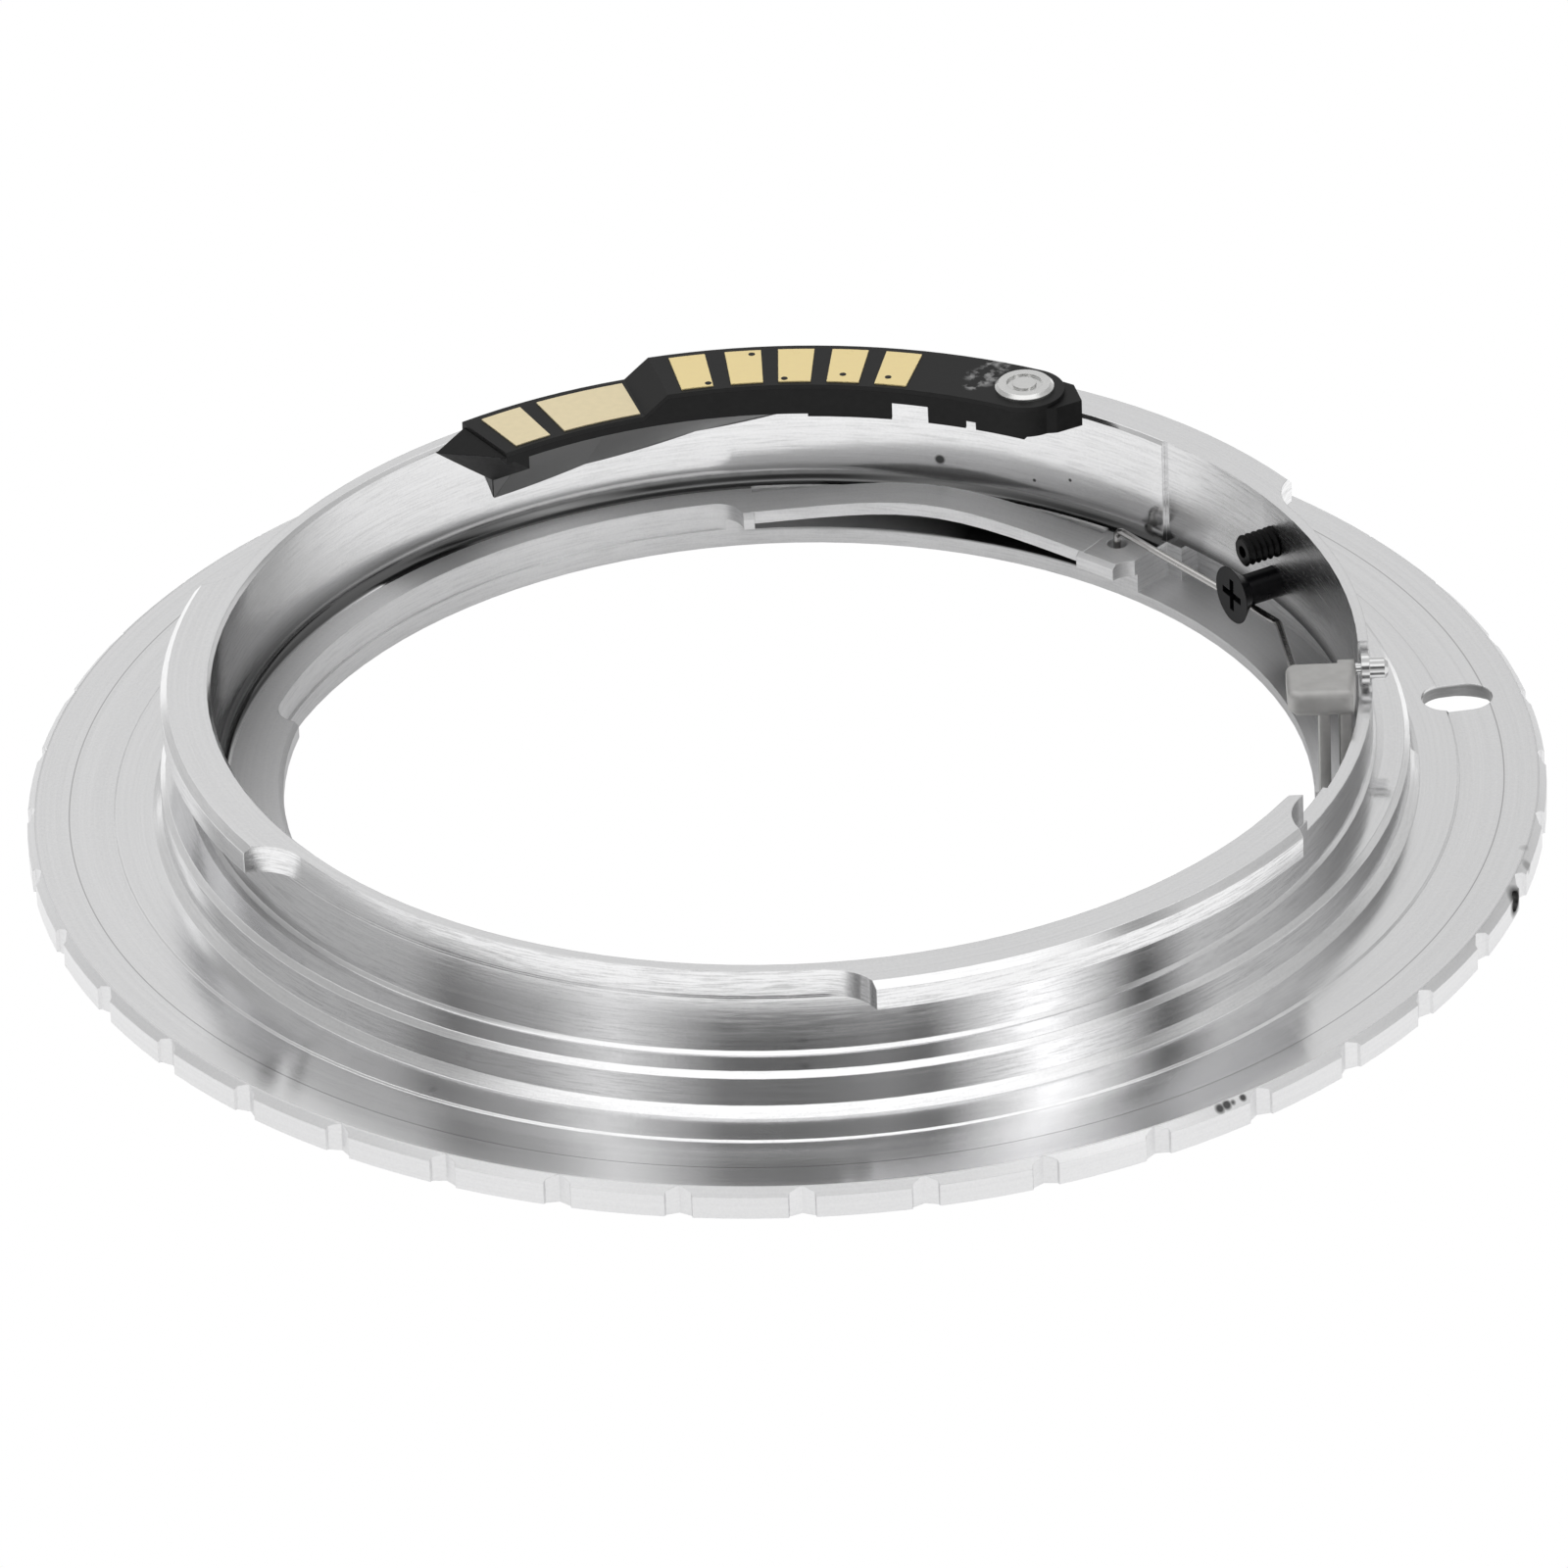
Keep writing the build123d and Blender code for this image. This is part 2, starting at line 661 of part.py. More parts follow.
# Rivet with turned rings, through the board into the base
with BuildPart() as chip_rivet:
    with BuildSketch(Plane.XY.offset(chip_top_z + board_t)):
        with Locations(rivet_xy):
            Circle(rivet_r)
    extrude(amount=rivet_head_t)
    chamfer(chip_rivet.faces().sort_by(Axis.Z)[-1].edges(), rivet_head_t / 2)
    with BuildSketch(Plane.XY.offset(chip_top_z + board_t + rivet_head_t - rivet_groove_depth)):
        with Locations(rivet_xy):
            Circle(rivet_r * 0.6)
            Circle(rivet_r * 0.4, mode=Mode.SUBTRACT)
    extrude(amount=rivet_head_t, mode=Mode.SUBTRACT)
    with BuildSketch(Plane.XY.offset(chip_top_z + board_t)):
        with Locations(rivet_xy):
            Circle(rivet_shank_r)
    extrude(amount=-board_t - rivet_shank_l)
chip_rivet.part.label = "chip_rivet"
export_step(chip_rivet.part, "parts/chip_rivet.step")

# The circuit inside the base
for name, azimuth, length, width, height in cells:
    with BuildPart() as cell:
        with BuildSketch(Plane.XY.offset(cell_floor_z)):
            with Locations(Location(polar(cell_r, azimuth), azimuth)):
                Rectangle(width, length)
        extrude(amount=height)
    cell.part.label = name
    export_step(cell.part, f"parts/{name}.step")

# Glue wedge under the left half of the base
with BuildPart() as adhesive_bead:
    for azimuth, low_z in bead_sections:
        with BuildSketch(azimuth_plane(azimuth)):
            with BuildLine():
                Polyline(
                    (chip_in_r + bead_setback, chip_bottom_z),
                    (chip_seat_r + bore_reach, chip_bottom_z),
                    (chip_seat_r + bore_reach, low_z - bead_slope * bore_reach),
                    (chip_seat_r, low_z),
                    close=True,
                )
            make_face()
    loft(ruled=True)
    with BuildSketch():
        Circle(chip_seat_r)
    extrude(amount=chip_bottom_z, mode=Mode.INTERSECT)
adhesive_bead.part.label = "adhesive_bead"
export_step(adhesive_bead.part, "parts/adhesive_bead.step")
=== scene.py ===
from math import cos, radians, sin, tau

import bmesh
import bpy
from mathutils import Matrix, Vector


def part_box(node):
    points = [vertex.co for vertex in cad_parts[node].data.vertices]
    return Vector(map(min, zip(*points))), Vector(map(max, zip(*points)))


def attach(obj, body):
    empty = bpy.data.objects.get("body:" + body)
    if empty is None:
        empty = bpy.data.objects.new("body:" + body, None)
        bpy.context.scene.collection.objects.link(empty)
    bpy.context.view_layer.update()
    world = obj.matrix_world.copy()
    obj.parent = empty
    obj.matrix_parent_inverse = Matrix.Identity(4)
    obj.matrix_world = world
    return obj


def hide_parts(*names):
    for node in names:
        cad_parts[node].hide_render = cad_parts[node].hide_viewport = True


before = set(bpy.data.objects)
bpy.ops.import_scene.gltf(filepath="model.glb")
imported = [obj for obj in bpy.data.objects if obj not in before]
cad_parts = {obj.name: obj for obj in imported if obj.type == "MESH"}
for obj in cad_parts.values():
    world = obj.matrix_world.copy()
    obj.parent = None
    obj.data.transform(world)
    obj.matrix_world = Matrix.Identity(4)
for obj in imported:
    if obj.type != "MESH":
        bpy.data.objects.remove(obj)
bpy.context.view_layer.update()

MM = 0.001
WHITE = (1.0, 1.0, 1.0)

# The photograph's camera, from the ring's known circles
CAMERA_DISTANCE = 632.25 * MM
CAMERA_ELEVATION = radians(31.024)
CAMERA_ROLL = radians(2.21)
FOCAL_PIXELS = 15079.6
PHOTO_PIXELS = 1600
PHOTO_CENTRE = (802.1, 795.5)
SENSOR_MM = 36.0
NEAR_CLIP = 0.05
FAR_CLIP = 20

# Zones of the ring: inner and outer radius, then lowest and highest height, in millimetres
FLANGE_TOP = (26.8, 32.15, -0.2, 0.2)
SLOT_WALL = (28.0, 31.6, -1.45, -0.13)
TAB_TOP = (21.3, 23.84, 0.6, 1.5)
POCKET_FLOOR = (21.3, 25.6, -2.0, 0.6)
BORE_WALL = (23.86, 25.6, 0.765, 6.3)
COVE = (23.82, 24.46, 0.74, 2.0)
LEAF_SLIT = (21.75, 24.2, -0.7, 0.1)
SLIT_LIP = (23.84, 23.95, 0.55, 0.8)

# Bands of the ring's radius and the height near its collar's top, in millimetres, and the least that a slot's
# wall is upright, from 0 to 1
RIM_R = (32.1, 33.0)
SCORED_LINE_R = (30.66, 30.71)
HIGHLIGHT_TOP_R = (24.4, 25.1)
OUTER_WALLS_R = (24.4, 24.8)
COLLAR_TOP_Z = 6.3
STEEP = 0.7

# The cove's centre line and the least reach outside it, in millimetres, and the likeness to the facets' normal
# over which its true one takes over
COVE_MID_R = 23.45
COVE_MID_Z = 1.52
COVE_LEAST = 0.02
COVE_LIKENESS = (0.75, 0.9)

# Stretches round the ring, in turns from +X
WORN_TURNS = (-0.03, 0.115)
SLIT_TURNS = (0.142, 0.26)
SLIT_DARKENS = (0.25, 0.19)
LIP_TURNS = (0.1465, 0.2565)
# The stretch of the painted highlight on the collar's top
HIGHLIGHT_TURNS = (-0.010, 0.0165)
LEFT_TURNS = (0.35, 0.46)

# The painted shade at the bore wall's foot, in millimetres: its top on the right and on the left, and where it
# is strongest
FOOT_SHADE_TOPS = (1.75, 2.9)
FOOT_SHADE_FULL_Z = 1.15
FOOT_SHADE_STRENGTH = 0.88

# The ring's colours and roughness. Its zones go over each other in this order, with a strength and a grey.
LOW_ALUMINIUM = (0.80, 0.80, 0.805)
HIGH_ALUMINIUM = (0.93, 0.93, 0.935)
STREAK_DEPTHS = (0.12, 0.30)
STREAK_GREY = 0.25
GRAIN_SHARE = 0.38
PATCH_SHARE = 0.04
SPECK_STRENGTH, SPECK_GREY = 0.6, 0.30
SPOT_STRENGTH, SPOT_GREY = 0.9, 0.03
# Of these zones, the bore wall's foot, the leaf's slit and the slot's walls are painted shade
ZONE_GREYS = [("scored", 0.55, 0.20), ("foot_shade", 1.0, 0.06), ("slit", 1.0, 0.01), ("slot_wall_shade", 0.7, 0.08)]
WALL_ROUGHNESS = 0.11
ZONE_ROUGHNESS = [
    ("flange_top", 0.14), ("worn_wall", 0.22), ("pocket_floor", 0.42), ("tab_top", 0.5), ("rim", 0.42),
    ("highlight_and_lip", 0.75),
]

# Small places on the surface, as (x, y, z, radius) in millimetres: specks on the bore's wall, the index
# dimple and a nick in the rim, then dried glue on the board
RING_SPOTS = [
    (7.32, 23.23, 2.18, 0.22), (11.42, 21.51, 1.92, 0.08), (12.97, 20.61, 2.37, 0.08),
    (30.54, -11.12, -0.7, 0.62),
    (17.40, -27.36, -0.1, 0.26), (17.68, -27.12, -0.1, 0.24), (17.95, -26.95, -0.1, 0.16),
    (18.36, -26.62, -0.1, 0.18),
]
SPOT_BLUR = 0.25
GLUE_SMEARS = [(9.3, 21.0, 7.6, 0.75), (9.9, 21.9, 7.6, 0.6), (8.8, 20.3, 7.6, 0.4)]

# Where a noise pattern's values turn from bare to streaked, and from bare to smeared
STREAK_EDGES = (0.46, 0.68)
SMEAR_EDGES = (0.48, 0.66)
SMEAR_GREY = 0.30

# The contact pads' plated holes, in millimetres: where they show, and the solids' own ones, which are filled
VIA_PLACES = [(-2.73, 21.32), (-0.79, 23.74), (0.60, 21.48), (3.17, 21.64), (5.14, 21.24)]
PLAIN_VIA_R = 23.84
PLAIN_VIA_AZIMUTHS = (98.7, 92.8, 87.2, 81.5, 75.8)
VIA_R = 0.15
VIA_DEPTH = 0.06
VIA_SINK = 0.026
PLATING_SINK = 0.028

# The stop screw, in millimetres
STOP_AZIMUTH = radians(28.9)
STOP_IN_R = 22.95
STOP_Z = 3.95
STOP_LENGTH = 2.0
THREAD_CREST_R = 0.70
THREAD_ROOT_R = 0.57
THREAD_PITCH = 0.30
THREAD_TURNS = 8
THREAD_STEPS = 24
THREAD_MERGE = 0.001
TIP_TAPER = 0.88
TIP_RIM = 0.28
TIP_RECESS = 0.35

# The studio's light by azimuth in degrees, as brightness at the ring's own height
STUDIO_BANDS = [
    (-180, 0.47), (-170, 0.42), (-161, 0.15), (-140, 0.42), (-126, 0.90), (-104, 0.14), (-90, 0.10),
    (-74, 0.22), (-64, 0.12), (-42, 1.60), (-28, 0.70), (-18, 0.0), (-6, 0.62), (20, 0.50), (44, 0.24),
    (66, 0.24), (80, 0.66), (90, 0.72), (112, 0.84), (127, 0.98), (137, 0.42), (160, 0.48), (180, 0.47),
]
STUDIO_PEAK = 1.6
# The heights that the bands cover, and the light above and below them, by its direction's height from 0 to 1
BAND_HEIGHTS = (0.36, 0.72)
BAND_BLUR = 0.05
STUDIO_LEVELS = [(0.25, 0.62), (0.72, 0.75), (0.80, 1.25), (0.93, 1.25), (0.975, 0.75)]
HORIZON_BLUR = 0.06

# The floor, and its light under the ring by radius as a share of a reach in millimetres: a painted shadow that
# the ring's reflections show
FLOOR_Z = -2.61 * MM
FLOOR_SIZE = 6.0
FLOOR_LIGHT = 1.05
FLOOR_REACH = 40.0
FLOOR_SHADES = [(0.30, 0.95), (0.46, 0.80), (0.535, 0.38), (0.60, 0.38), (0.80, 0.80), (0.84, 1.0)]


# Node helpers

def add_node(tree, kind, inputs=None, **settings):
    """A new node with its settings, and its inputs set to a value or linked from a socket."""
    node = tree.nodes.new(kind)
    for name, value in settings.items():
        setattr(node, name, value)
    for key, value in (inputs or {}).items():
        set_input(tree, node.inputs[key], value)
    return node


def set_input(tree, socket, value):
    """A link from a socket, or a plain value."""
    if isinstance(value, bpy.types.NodeSocket):
        tree.links.new(value, socket)
    else:
        socket.default_value = value


def calc(tree, operation, *values, clamp=False):
    """The result of one Math node."""
    return add_node(tree, "ShaderNodeMath", dict(enumerate(values)), operation=operation,
                    use_clamp=clamp).outputs[0]


def product(tree, first, *others):
    """Values multiplied by each other."""
    for other in others:
        first = calc(tree, "MULTIPLY", first, other)
    return first


def fade(tree, value, start, end, low=0.0, high=1.0):
    """A value that goes from low to high while another goes from start to end."""
    return add_node(tree, "ShaderNodeMapRange", {
        "Value": value, "From Min": start, "From Max": end, "To Min": low, "To Max": high}).outputs[0]


def between(tree, value, low, high, soft=0.03):
    """1 where a value lies between two limits."""
    above = fade(tree, value, low - soft, low + soft)
    below = fade(tree, value, high + soft, high - soft)
    return product(tree, above, below)


def in_zone(tree, radius, height, zone, soft_r=0.03, soft_z=0.03):
    """1 inside a zone of the ring."""
    inner, outer, lowest, highest = zone
    return product(tree, between(tree, radius, inner, outer, soft_r),
                   between(tree, height, lowest, highest, soft_z))


def mix_value(tree, factor, first, second):
    """A value between two others."""
    return add_node(tree, "ShaderNodeMix", {0: factor, 2: first, 3: second}, data_type="FLOAT").outputs[0]


def mix_colour(tree, factor, first, second, blend="MIX"):
    """A colour between two others."""
    node = add_node(tree, "ShaderNodeMix", {0: factor}, data_type="RGBA", blend_type=blend)
    for socket, colour in ((node.inputs[6], first), (node.inputs[7], second)):
        set_input(tree, socket, (*colour, 1) if isinstance(colour, tuple) else colour)
    return node.outputs[2]


def darken(tree, base, mask, strength, grey):
    """A colour that turns to a grey inside a mask."""
    return mix_colour(tree, product(tree, mask, strength), base, (grey, grey, grey))


def ramp(tree, factor, stops):
    """A colour ramp's greys, with stops given as (position, grey)."""
    node = add_node(tree, "ShaderNodeValToRGB", {0: factor})
    elements = node.color_ramp.elements
    while len(elements) < len(stops):
        elements.new(0.5)
    for element, (position, grey) in zip(elements, stops):
        element.position = position
        element.color = (grey, grey, grey, 1)
    return node.outputs[0]


def noise(tree, point, scale, detail, roughness=0.5):
    """A noise pattern from 0 to 1."""
    return add_node(tree, "ShaderNodeTexNoise", {
        "Vector": point, "Scale": scale, "Detail": detail, "Roughness": roughness}).outputs[0]


def split(tree, vector):
    """A vector's x, y and z."""
    return add_node(tree, "ShaderNodeSeparateXYZ", {0: vector}).outputs


def join(tree, *parts):
    """A vector from its x, y and z."""
    return add_node(tree, "ShaderNodeCombineXYZ", dict(enumerate(parts))).outputs[0]


def vector_calc(tree, operation, *vectors, output="Vector"):
    """The result of one Vector Math node."""
    node = add_node(tree, "ShaderNodeVectorMath", dict(enumerate(vectors)), operation=operation)
    return node.outputs[output]


def new_group(name, inputs, outputs):
    """A shader node group with its named sockets, as (tree, group input, group output)."""
    tree = bpy.data.node_groups.new(name, "ShaderNodeTree")
    for socket, kind, value in inputs:
        made = tree.interface.new_socket(socket, in_out="INPUT", socket_type="NodeSocket" + kind)
        if value is not None:
            made.default_value = value
    for socket, kind in outputs:
        tree.interface.new_socket(socket, in_out="OUTPUT", socket_type="NodeSocket" + kind)
    return tree, tree.nodes.new("NodeGroupInput"), tree.nodes.new("NodeGroupOutput")


def use_group(tree, group, **inputs):
    """The outputs of one use of a node group."""
    node = tree.nodes.new("ShaderNodeGroup")
    node.node_tree = group
    for name, value in inputs.items():
        set_input(tree, node.inputs[name.replace("_", " ")], value)
    return node.outputs


# Effects that several materials use

def build_ring_place():
    """Radius, height and turn of a point about the ring's axis, in millimetres and turns."""
    tree, start, end = new_group(
        "ring_place", [("Point", "Vector", None)],
        [("Radius", "Float"), ("Height", "Float"), ("Turn", "Float")],
    )
    x, y, z = split(tree, start.outputs[0])
    square = calc(tree, "ADD", product(tree, x, x), product(tree, y, y))
    tree.links.new(product(tree, calc(tree, "SQRT", square), 1 / MM), end.inputs[0])
    tree.links.new(product(tree, z, 1 / MM), end.inputs[1])
    tree.links.new(calc(tree, "DIVIDE", calc(tree, "ARCTAN2", y, x), tau), end.inputs[2])
    return tree


def build_turning_marks():
    """Fine concentric lines that a lathe leaves: a height from 0 to 1 for points in millimetres."""
    tree, start, end = new_group(
        "turning_marks",
        [("Radius", "Float", 0.0), ("Height", "Float", 0.0), ("Turn", "Float", 0.0),
         ("Lines per mm", "Float", 6.0), ("Waver", "Float", 2.0)],
        [("Marks", "Float")],
    )
    radius, height, turn, lines, waver = start.outputs[:5]
    angle = product(tree, turn, tau)
    wavering = product(tree, calc(tree, "COSINE", angle), waver)
    outward = calc(tree, "ADD", product(tree, radius, lines), wavering)
    sideways = product(tree, calc(tree, "SINE", angle), waver)
    place = join(tree, outward, sideways, product(tree, height, lines))
    tree.links.new(noise(tree, place, scale=1.0, detail=3.0, roughness=0.65), end.inputs[0])
    return tree


def build_specks():
    """Scattered small specks, dust and dents: a mask from 0 to 1."""
    tree, start, end = new_group(
        "specks",
        [("Point", "Vector", None), ("Scale", "Float", 500.0), ("Size", "Float", 0.12),
         ("Share", "Float", 0.15)],
        [("Mask", "Float")],
    )
    point, scale, size, share = start.outputs[:4]
    cells = add_node(tree, "ShaderNodeTexVoronoi", {"Vector": point, "Scale": scale}).outputs
    near = fade(tree, cells["Distance"], size, product(tree, size, 0.5))
    tint = add_node(tree, "ShaderNodeSeparateColor", {0: cells["Color"]}).outputs[0]
    tree.links.new(product(tree, near, calc(tree, "LESS_THAN", tint, share)), end.inputs[0])
    return tree


def build_brushed_streaks():
    """Fine streaks that polishing leaves along a turned wall: a mask from 0 to 1."""
    tree, start, end = new_group(
        "brushed_streaks",
        [("Point", "Vector", None), ("Lines per mm", "Float", 7.0), ("Length", "Float", 3.0)],
        [("Mask", "Float")],
    )
    point, lines, length = start.outputs[:3]
    x, y, z = split(tree, point)
    along = calc(tree, "DIVIDE", 1 / MM, length)
    across = product(tree, lines, 1 / MM)
    stretched = join(tree, product(tree, x, along), product(tree, y, along), product(tree, z, across))
    streaks = noise(tree, stretched, scale=1.0, detail=4.0, roughness=0.6)
    tree.links.new(fade(tree, streaks, *STREAK_EDGES), end.inputs[0])
    return tree


def build_studio_light():
    """The light that comes from a direction: bright and dark bands round the ring, white overhead."""
    tree, start, end = new_group("studio_light", [("Direction", "Vector", None)], [("Light", "Color")])
    x, y, z = split(tree, start.outputs[0])
    turn = calc(tree, "ADD", calc(tree, "DIVIDE", calc(tree, "ARCTAN2", y, x), tau), 0.5)
    bands = ramp(tree, turn, [(azimuth / 360 + 0.5, light / STUDIO_PEAK) for azimuth, light in STUDIO_BANDS])
    level = ramp(tree, z, [(height, light / STUDIO_PEAK) for height, light in STUDIO_LEVELS])
    light = mix_colour(tree, between(tree, z, *BAND_HEIGHTS, BAND_BLUR), level, bands)
    below = fade(tree, z, HORIZON_BLUR, -HORIZON_BLUR)
    light = mix_colour(tree, below, light, (FLOOR_LIGHT / STUDIO_PEAK,) * 3)
    bright = add_node(tree, "ShaderNodeVectorMath", {0: light, "Scale": STUDIO_PEAK}, operation="SCALE")
    tree.links.new(bright.outputs[0], end.inputs[0])
    return tree


RING_PLACE = build_ring_place()
TURNING_MARKS = build_turning_marks()
SPECKS = build_specks()
BRUSHED_STREAKS = build_brushed_streaks()
STUDIO_LIGHT = build_studio_light()


# Finishes

def new_finish(name, **constants):
    """A material, its tree, its Principled shader with these constants, and Object coordinates."""
    material = bpy.data.materials.new(name)
    material.use_nodes = True
    tree = material.node_tree
    shader = tree.nodes["Principled BSDF"]
    for socket, value in constants.items():
        shader.inputs[socket.replace("_", " ")].default_value = value
    point = add_node(tree, "ShaderNodeTexCoord").outputs["Object"]
    return material, tree, shader, point


def bump_to(tree, shader, height, strength, distance, normal):
    """A bump over a normal, on the shader."""
    bump = add_node(tree, "ShaderNodeBump", {
        "Strength": strength, "Distance": distance, "Height": height, "Normal": normal})
    tree.links.new(bump.outputs[0], shader.inputs["Normal"])


def spots(tree, point, places):
    """1 inside small round places, given as (x, y, z, radius) in millimetres."""
    mask = 0.0
    for *centre, size in places:
        gap = vector_calc(tree, "DISTANCE", point, [part * MM for part in centre], output="Value")
        inside = fade(tree, gap, size * MM * (1 + SPOT_BLUR), size * MM * (1 - SPOT_BLUR))
        mask = calc(tree, "MAXIMUM", mask, inside)
    return mask


def rounded(tree, radius):
    """The surface's normal with its sharp edges rounded by a radius in millimetres."""
    return add_node(tree, "ShaderNodeBevel", {"Radius": radius * MM}, samples=4).outputs[0]


def cove_normal(tree, point, radius, height, normal):
    """The true normal of the cove at the wall's foot, which its few facets only come near to."""
    x, y = split(tree, point)[:2]
    inward = calc(tree, "MINIMUM", calc(tree, "SUBTRACT", COVE_MID_R, radius), -COVE_LEAST)
    upward = calc(tree, "MAXIMUM", calc(tree, "SUBTRACT", COVE_MID_Z, height), 0.0)
    share = calc(tree, "DIVIDE", product(tree, inward, 1 / MM), radius)
    towards_middle = join(tree, product(tree, x, share), product(tree, y, share), upward)
    true = vector_calc(tree, "NORMALIZE", towards_middle)
    likeness = vector_calc(tree, "DOT_PRODUCT", true, normal, output="Value")
    alike = fade(tree, likeness, *COVE_LIKENESS)
    mask = product(tree, in_zone(tree, radius, height, COVE), alike)
    return add_node(tree, "ShaderNodeMix", {0: mask, 4: normal, 5: true}, data_type="VECTOR").outputs[1]


def ring_zones(tree, radius, height, turn):
    """Masks from 0 to 1 for the parts of the ring that look different."""
    facing = split(tree, add_node(tree, "ShaderNodeNewGeometry").outputs["Normal"])
    upright = calc(tree, "SUBTRACT", 1.0, calc(tree, "ABSOLUTE", facing[2]), clamp=True)
    rim = between(tree, radius, *RIM_R)
    walls = product(tree, upright, calc(tree, "SUBTRACT", 1.0, rim))
    flange_top = in_zone(tree, radius, height, FLANGE_TOP)
    bore = in_zone(tree, radius, height, BORE_WALL)
    left = fade(tree, calc(tree, "ABSOLUTE", turn), *LEFT_TURNS)
    # Painted shade: the bore wall darkens towards its foot
    foot = fade(tree, height, mix_value(tree, left, *FOOT_SHADE_TOPS), FOOT_SHADE_FULL_Z, high=FOOT_SHADE_STRENGTH)
    # Painted highlight: white on the collar's top over a short stretch round the ring
    top_highlight = product(tree, between(tree, radius, *HIGHLIGHT_TOP_R, soft=0.05),
                          between(tree, turn, *HIGHLIGHT_TURNS, soft=0.001),
                          calc(tree, "GREATER_THAN", height, COLLAR_TOP_Z))
    # A white lip along the leaf's slit
    white_lip = product(tree, in_zone(tree, radius, height, SLIT_LIP, soft_r=0.01),
                          between(tree, turn, *LIP_TURNS, soft=0.001))
    return {
        "rim": rim,
        "walls": walls,
        "flange_top": flange_top,
        "tab_top": in_zone(tree, radius, height, TAB_TOP),
        "pocket_floor": in_zone(tree, radius, height, POCKET_FLOOR),
        "worn_wall": product(tree, bore, between(tree, turn, *WORN_TURNS, soft=0.01)),
        "foot_shade": product(tree, foot, bore),
        # Painted shade inside the leaf's slit, deepest towards one end
        "slit": product(tree, in_zone(tree, radius, height, LEAF_SLIT, soft_r=0.1, soft_z=0.06),
                        between(tree, turn, *SLIT_TURNS, soft=0.002),
                        fade(tree, turn, *SLIT_DARKENS, low=0.35)),
        # Painted shade on the flange slot's upright walls
        "slot_wall_shade": product(tree, in_zone(tree, radius, height, SLOT_WALL, soft_z=0.05),
                             calc(tree, "GREATER_THAN", upright, STEEP)),
        "scored": product(tree, between(tree, radius, *SCORED_LINE_R, soft=0.015), flange_top),
        "highlight_and_lip": calc(tree, "MAXIMUM", top_highlight, white_lip),
        "rubbed": product(tree, walls, fade(tree, radius, *OUTER_WALLS_R, *STREAK_DEPTHS)),
    }


def ring_colour(tree, point, zones, marks, streaks, grain):
    """Aluminium with turning marks, streaks, grain, specks and dents; painted shade at the bore wall's foot,
    in the leaf's slit and on the slot's walls; a painted highlight on the collar's top; a white lip along the
    slit.
    """
    patches = noise(tree, point, scale=220.0, detail=3.0)
    specks = use_group(tree, SPECKS, Point=point, Scale=260.0, Size=0.10, Share=0.14)[0]
    base = mix_colour(tree, marks, LOW_ALUMINIUM, HIGH_ALUMINIUM)
    base = darken(tree, base, zones["rubbed"], streaks, STREAK_GREY)
    base = mix_colour(tree, GRAIN_SHARE, base, grain, "OVERLAY")
    base = mix_colour(tree, PATCH_SHARE, base, patches, "OVERLAY")
    base = darken(tree, base, specks, SPECK_STRENGTH, SPECK_GREY)
    for zone, strength, grey in ZONE_GREYS:
        base = darken(tree, base, zones[zone], strength, grey)
    # Painted highlight on the collar's top, and the white lip along the slit
    base = mix_colour(tree, zones["highlight_and_lip"], base, WHITE)
    return darken(tree, base, spots(tree, point, RING_SPOTS), SPOT_STRENGTH, SPOT_GREY)


def ring_finish():
    """Bright turned aluminium: satin flange, brushed walls, painted shade in the cove and inside the leaf's
    slit.
    """
    material, tree, shader, point = new_finish("ring_turned_aluminium", Metallic=1.0, Anisotropic=0.85,
                                               Anisotropic_Rotation=0.25)
    radius, height, turn = use_group(tree, RING_PLACE, Point=point)
    zones = ring_zones(tree, radius, height, turn)
    marks = use_group(tree, TURNING_MARKS, Radius=radius, Height=height, Turn=turn, Lines_per_mm=7.0,
                      Waver=1.5)[0]
    streaks = use_group(tree, BRUSHED_STREAKS, Point=point, Lines_per_mm=11.0, Length=1.6)[0]
    grain = noise(tree, point, scale=9000.0, detail=2.0)
    tree.links.new(ring_colour(tree, point, zones, marks, streaks, grain), shader.inputs["Base Color"])

    wall_streaks = product(tree, streaks, zones["walls"])
    rough = WALL_ROUGHNESS
    for zone, value in ZONE_ROUGHNESS:
        rough = mix_value(tree, zones[zone], rough, value)
    rough = calc(tree, "ADD", rough, product(tree, calc(tree, "SUBTRACT", marks, 0.5), 0.06))
    rough = calc(tree, "ADD", rough, product(tree, wall_streaks, 0.08))
    tree.links.new(rough, shader.inputs["Roughness"])

    relief = calc(tree, "ADD", marks, product(tree, wall_streaks, 0.4))
    relief = calc(tree, "ADD", relief, product(tree, grain, zones["flange_top"], 0.5))
    normal = cove_normal(tree, point, radius, height, rounded(tree, 0.05))
    bump_to(tree, shader, relief, strength=0.12, distance=0.01 * MM, normal=normal)
    around = vector_calc(tree, "CROSS_PRODUCT", (0, 0, 1), point)
    tree.links.new(vector_calc(tree, "NORMALIZE", around), shader.inputs["Tangent"])
    return material


